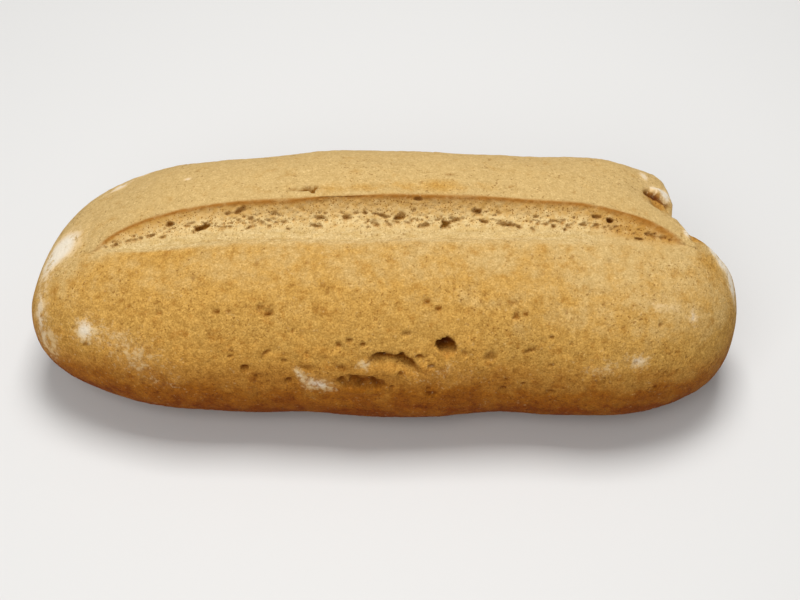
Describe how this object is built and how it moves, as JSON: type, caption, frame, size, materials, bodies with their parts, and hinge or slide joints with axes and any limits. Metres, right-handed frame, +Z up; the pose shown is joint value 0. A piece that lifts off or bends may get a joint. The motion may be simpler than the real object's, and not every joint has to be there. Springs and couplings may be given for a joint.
{
  "type": "rustic bread loaf",
  "caption": "Long rustic bread loaf with a domed top, an open slash along its ridge, a torn notch at its right end and a flat base to rest on.",
  "frame": {"origin": "middle of the loaf's box, on the flat base that it rests on", "axes": "+X along the loaf towards its notched right end, +Y from the slash towards the lifted back lobe, +Z up"},
  "size_m": [0.28, 0.1191, 0.0763],
  "materials": {
    "crust": "matte golden-brown baked crust with flour"
  },
  "bodies": {
    "root": {"loaf": "crust"}
  },
  "joints": []
}
